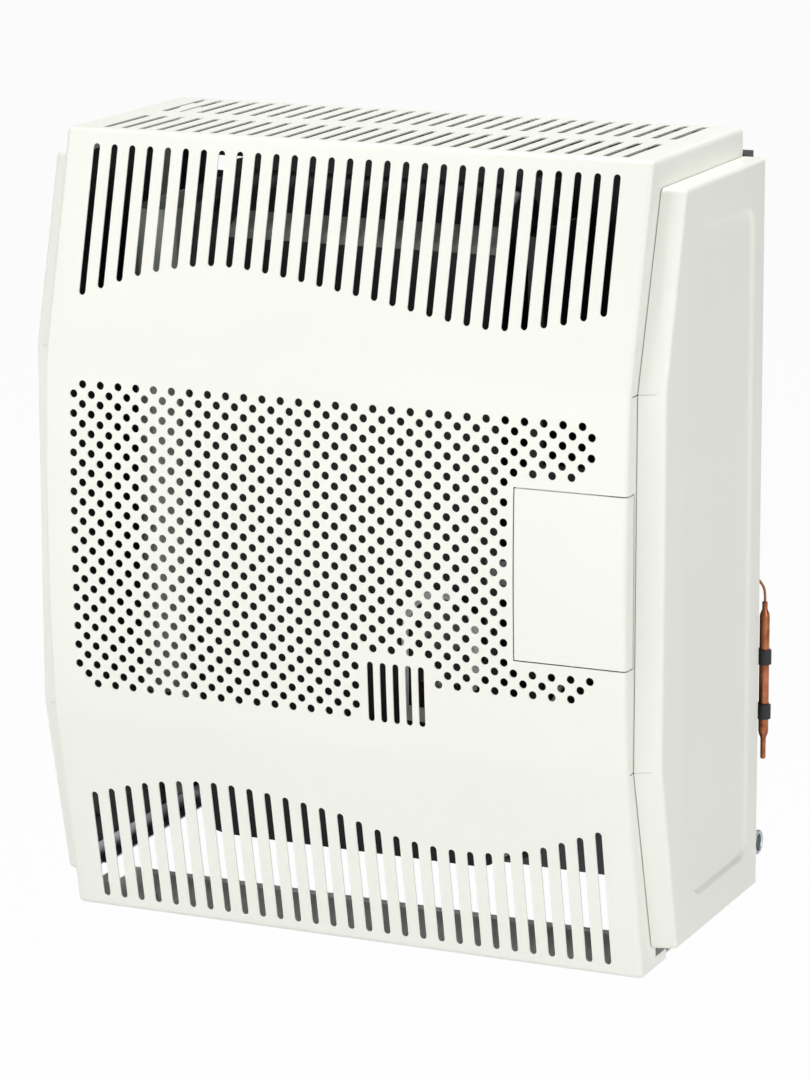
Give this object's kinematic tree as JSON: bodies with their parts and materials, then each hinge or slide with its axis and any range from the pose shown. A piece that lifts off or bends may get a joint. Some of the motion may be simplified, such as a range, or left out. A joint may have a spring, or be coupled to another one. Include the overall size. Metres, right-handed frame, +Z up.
{
  "type": "wall mounted gas heater",
  "caption": "Balanced-flue gas room heater in a folded, perforated ivory casing with a slotted grille above and below and a hinged control door.",
  "frame": {"origin": "middle of the wall plate's rear face, in the plane of the wall, 305 mm above the casing's lower edge", "axes": "+X to the right of a viewer who faces the heater, +Y into the wall (the front faces -Y), +Z up"},
  "size_m": [0.5177, 0.255, 0.6122],
  "materials": {
    "ivory_paint": "warm ivory powder coat, slightly textured, semi gloss",
    "galvanised_steel": "galvanised sheet with a faint spangle",
    "dark_steel": "dark grey steel sheet, satin",
    "black_enamel": "dark heat resistant enamel, satin",
    "brass": "machined brass",
    "copper": "drawn copper tube, lightly oxidised",
    "cast_aluminium": "as cast, fine grain",
    "black_plastic": "moulded, fine texture",
    "ivory_button": "moulded, smooth",
    "white_ceramic": "glazed ceramic",
    "fibre_gasket": "compressed fibre sheet",
    "sight_glass": "clear heat resistant glass",
    "ferrite": "dull dark grey magnet",
    "lead_sleeve": "silicone sleeve, off white"
  },
  "bodies": {
    "heater": {"front_casing": "ivory_paint", "hinge_bracket_upper": "galvanised_steel", "hinge_bracket_lower": "galvanised_steel", "door_magnet": "ferrite", "magnet_bracket": "galvanised_steel", "side_panel_left": "ivory_paint", "side_panel_right": "ivory_paint", "back_plate": "dark_steel", "hanging_rail": "galvanised_steel", "frame_arm_left": "galvanised_steel", "frame_arm_right": "galvanised_steel", "base_rail": "galvanised_steel", "casing_screw_left": "galvanised_steel", "casing_screw_right": "galvanised_steel", "chamber_front_shell": "black_enamel", "chamber_rear_shell": "black_enamel", "chamber_gasket": "fibre_gasket", "chamber_mount_left": "galvanised_steel", "chamber_mount_right": "galvanised_steel", "top_deflector": "galvanised_steel", "exhaust_spigot": "galvanised_steel", "flue_gasket": "fibre_gasket", "air_collar": "cast_aluminium", "access_plate": "cast_aluminium", "sight_glass": "sight_glass", "sight_frame": "galvanised_steel", "main_burner": "galvanised_steel", "burner_saddle_left": "galvanised_steel", "burner_saddle_right": "galvanised_steel", "injector": "brass", "thermocouple": "copper", "spark_electrode": "white_ceramic", "pilot_burner": "brass", "heat_shield_left": "galvanised_steel", "heat_shield_right": "dark_steel", "control_bracket": "dark_steel", "gas_valve": "cast_aluminium", "igniter_body": "black_plastic", "gas_inlet": "galvanised_steel", "inlet_pipe": "copper", "burner_pipe": "copper", "pilot_pipe": "copper", "thermocouple_lead": "copper", "ignition_lead": "lead_sleeve", "capillary": "copper", "sensor_bulb": "copper", "bulb_clip_upper": "black_plastic", "bulb_clip_lower": "black_plastic"},
    "door": {"control_door": "ivory_paint", "door_pin_upper": "galvanised_steel", "door_pin_lower": "galvanised_steel"},
    "spindle": {"valve_spindle": "brass"},
    "knob": {"control_knob": "black_plastic"},
    "igniter": {"igniter_button": "ivory_button"}
  },
  "joints": [
    {"name": "door_hinge", "type": "hinge", "parent": "heater", "child": "door", "pos_m": [0.2345, -0.2435, 0.005], "axis": [0, 0, 1], "range_deg": [0, 95]},
    {"name": "knob_press", "type": "slide", "parent": "heater", "child": "spindle", "axis": [0, 1, 0], "range_m": [0, 0.004], "stiffness_N_per_m": 1500},
    {"name": "knob_turn", "type": "hinge", "parent": "spindle", "child": "knob", "pos_m": [0.19, -0.22, 0.017], "axis": [0, -1, 0], "range_deg": [0, 250]},
    {"name": "igniter_press", "type": "slide", "parent": "heater", "child": "igniter", "axis": [0, 1, 0], "range_m": [0, 0.005], "stiffness_N_per_m": 1500}
  ]
}
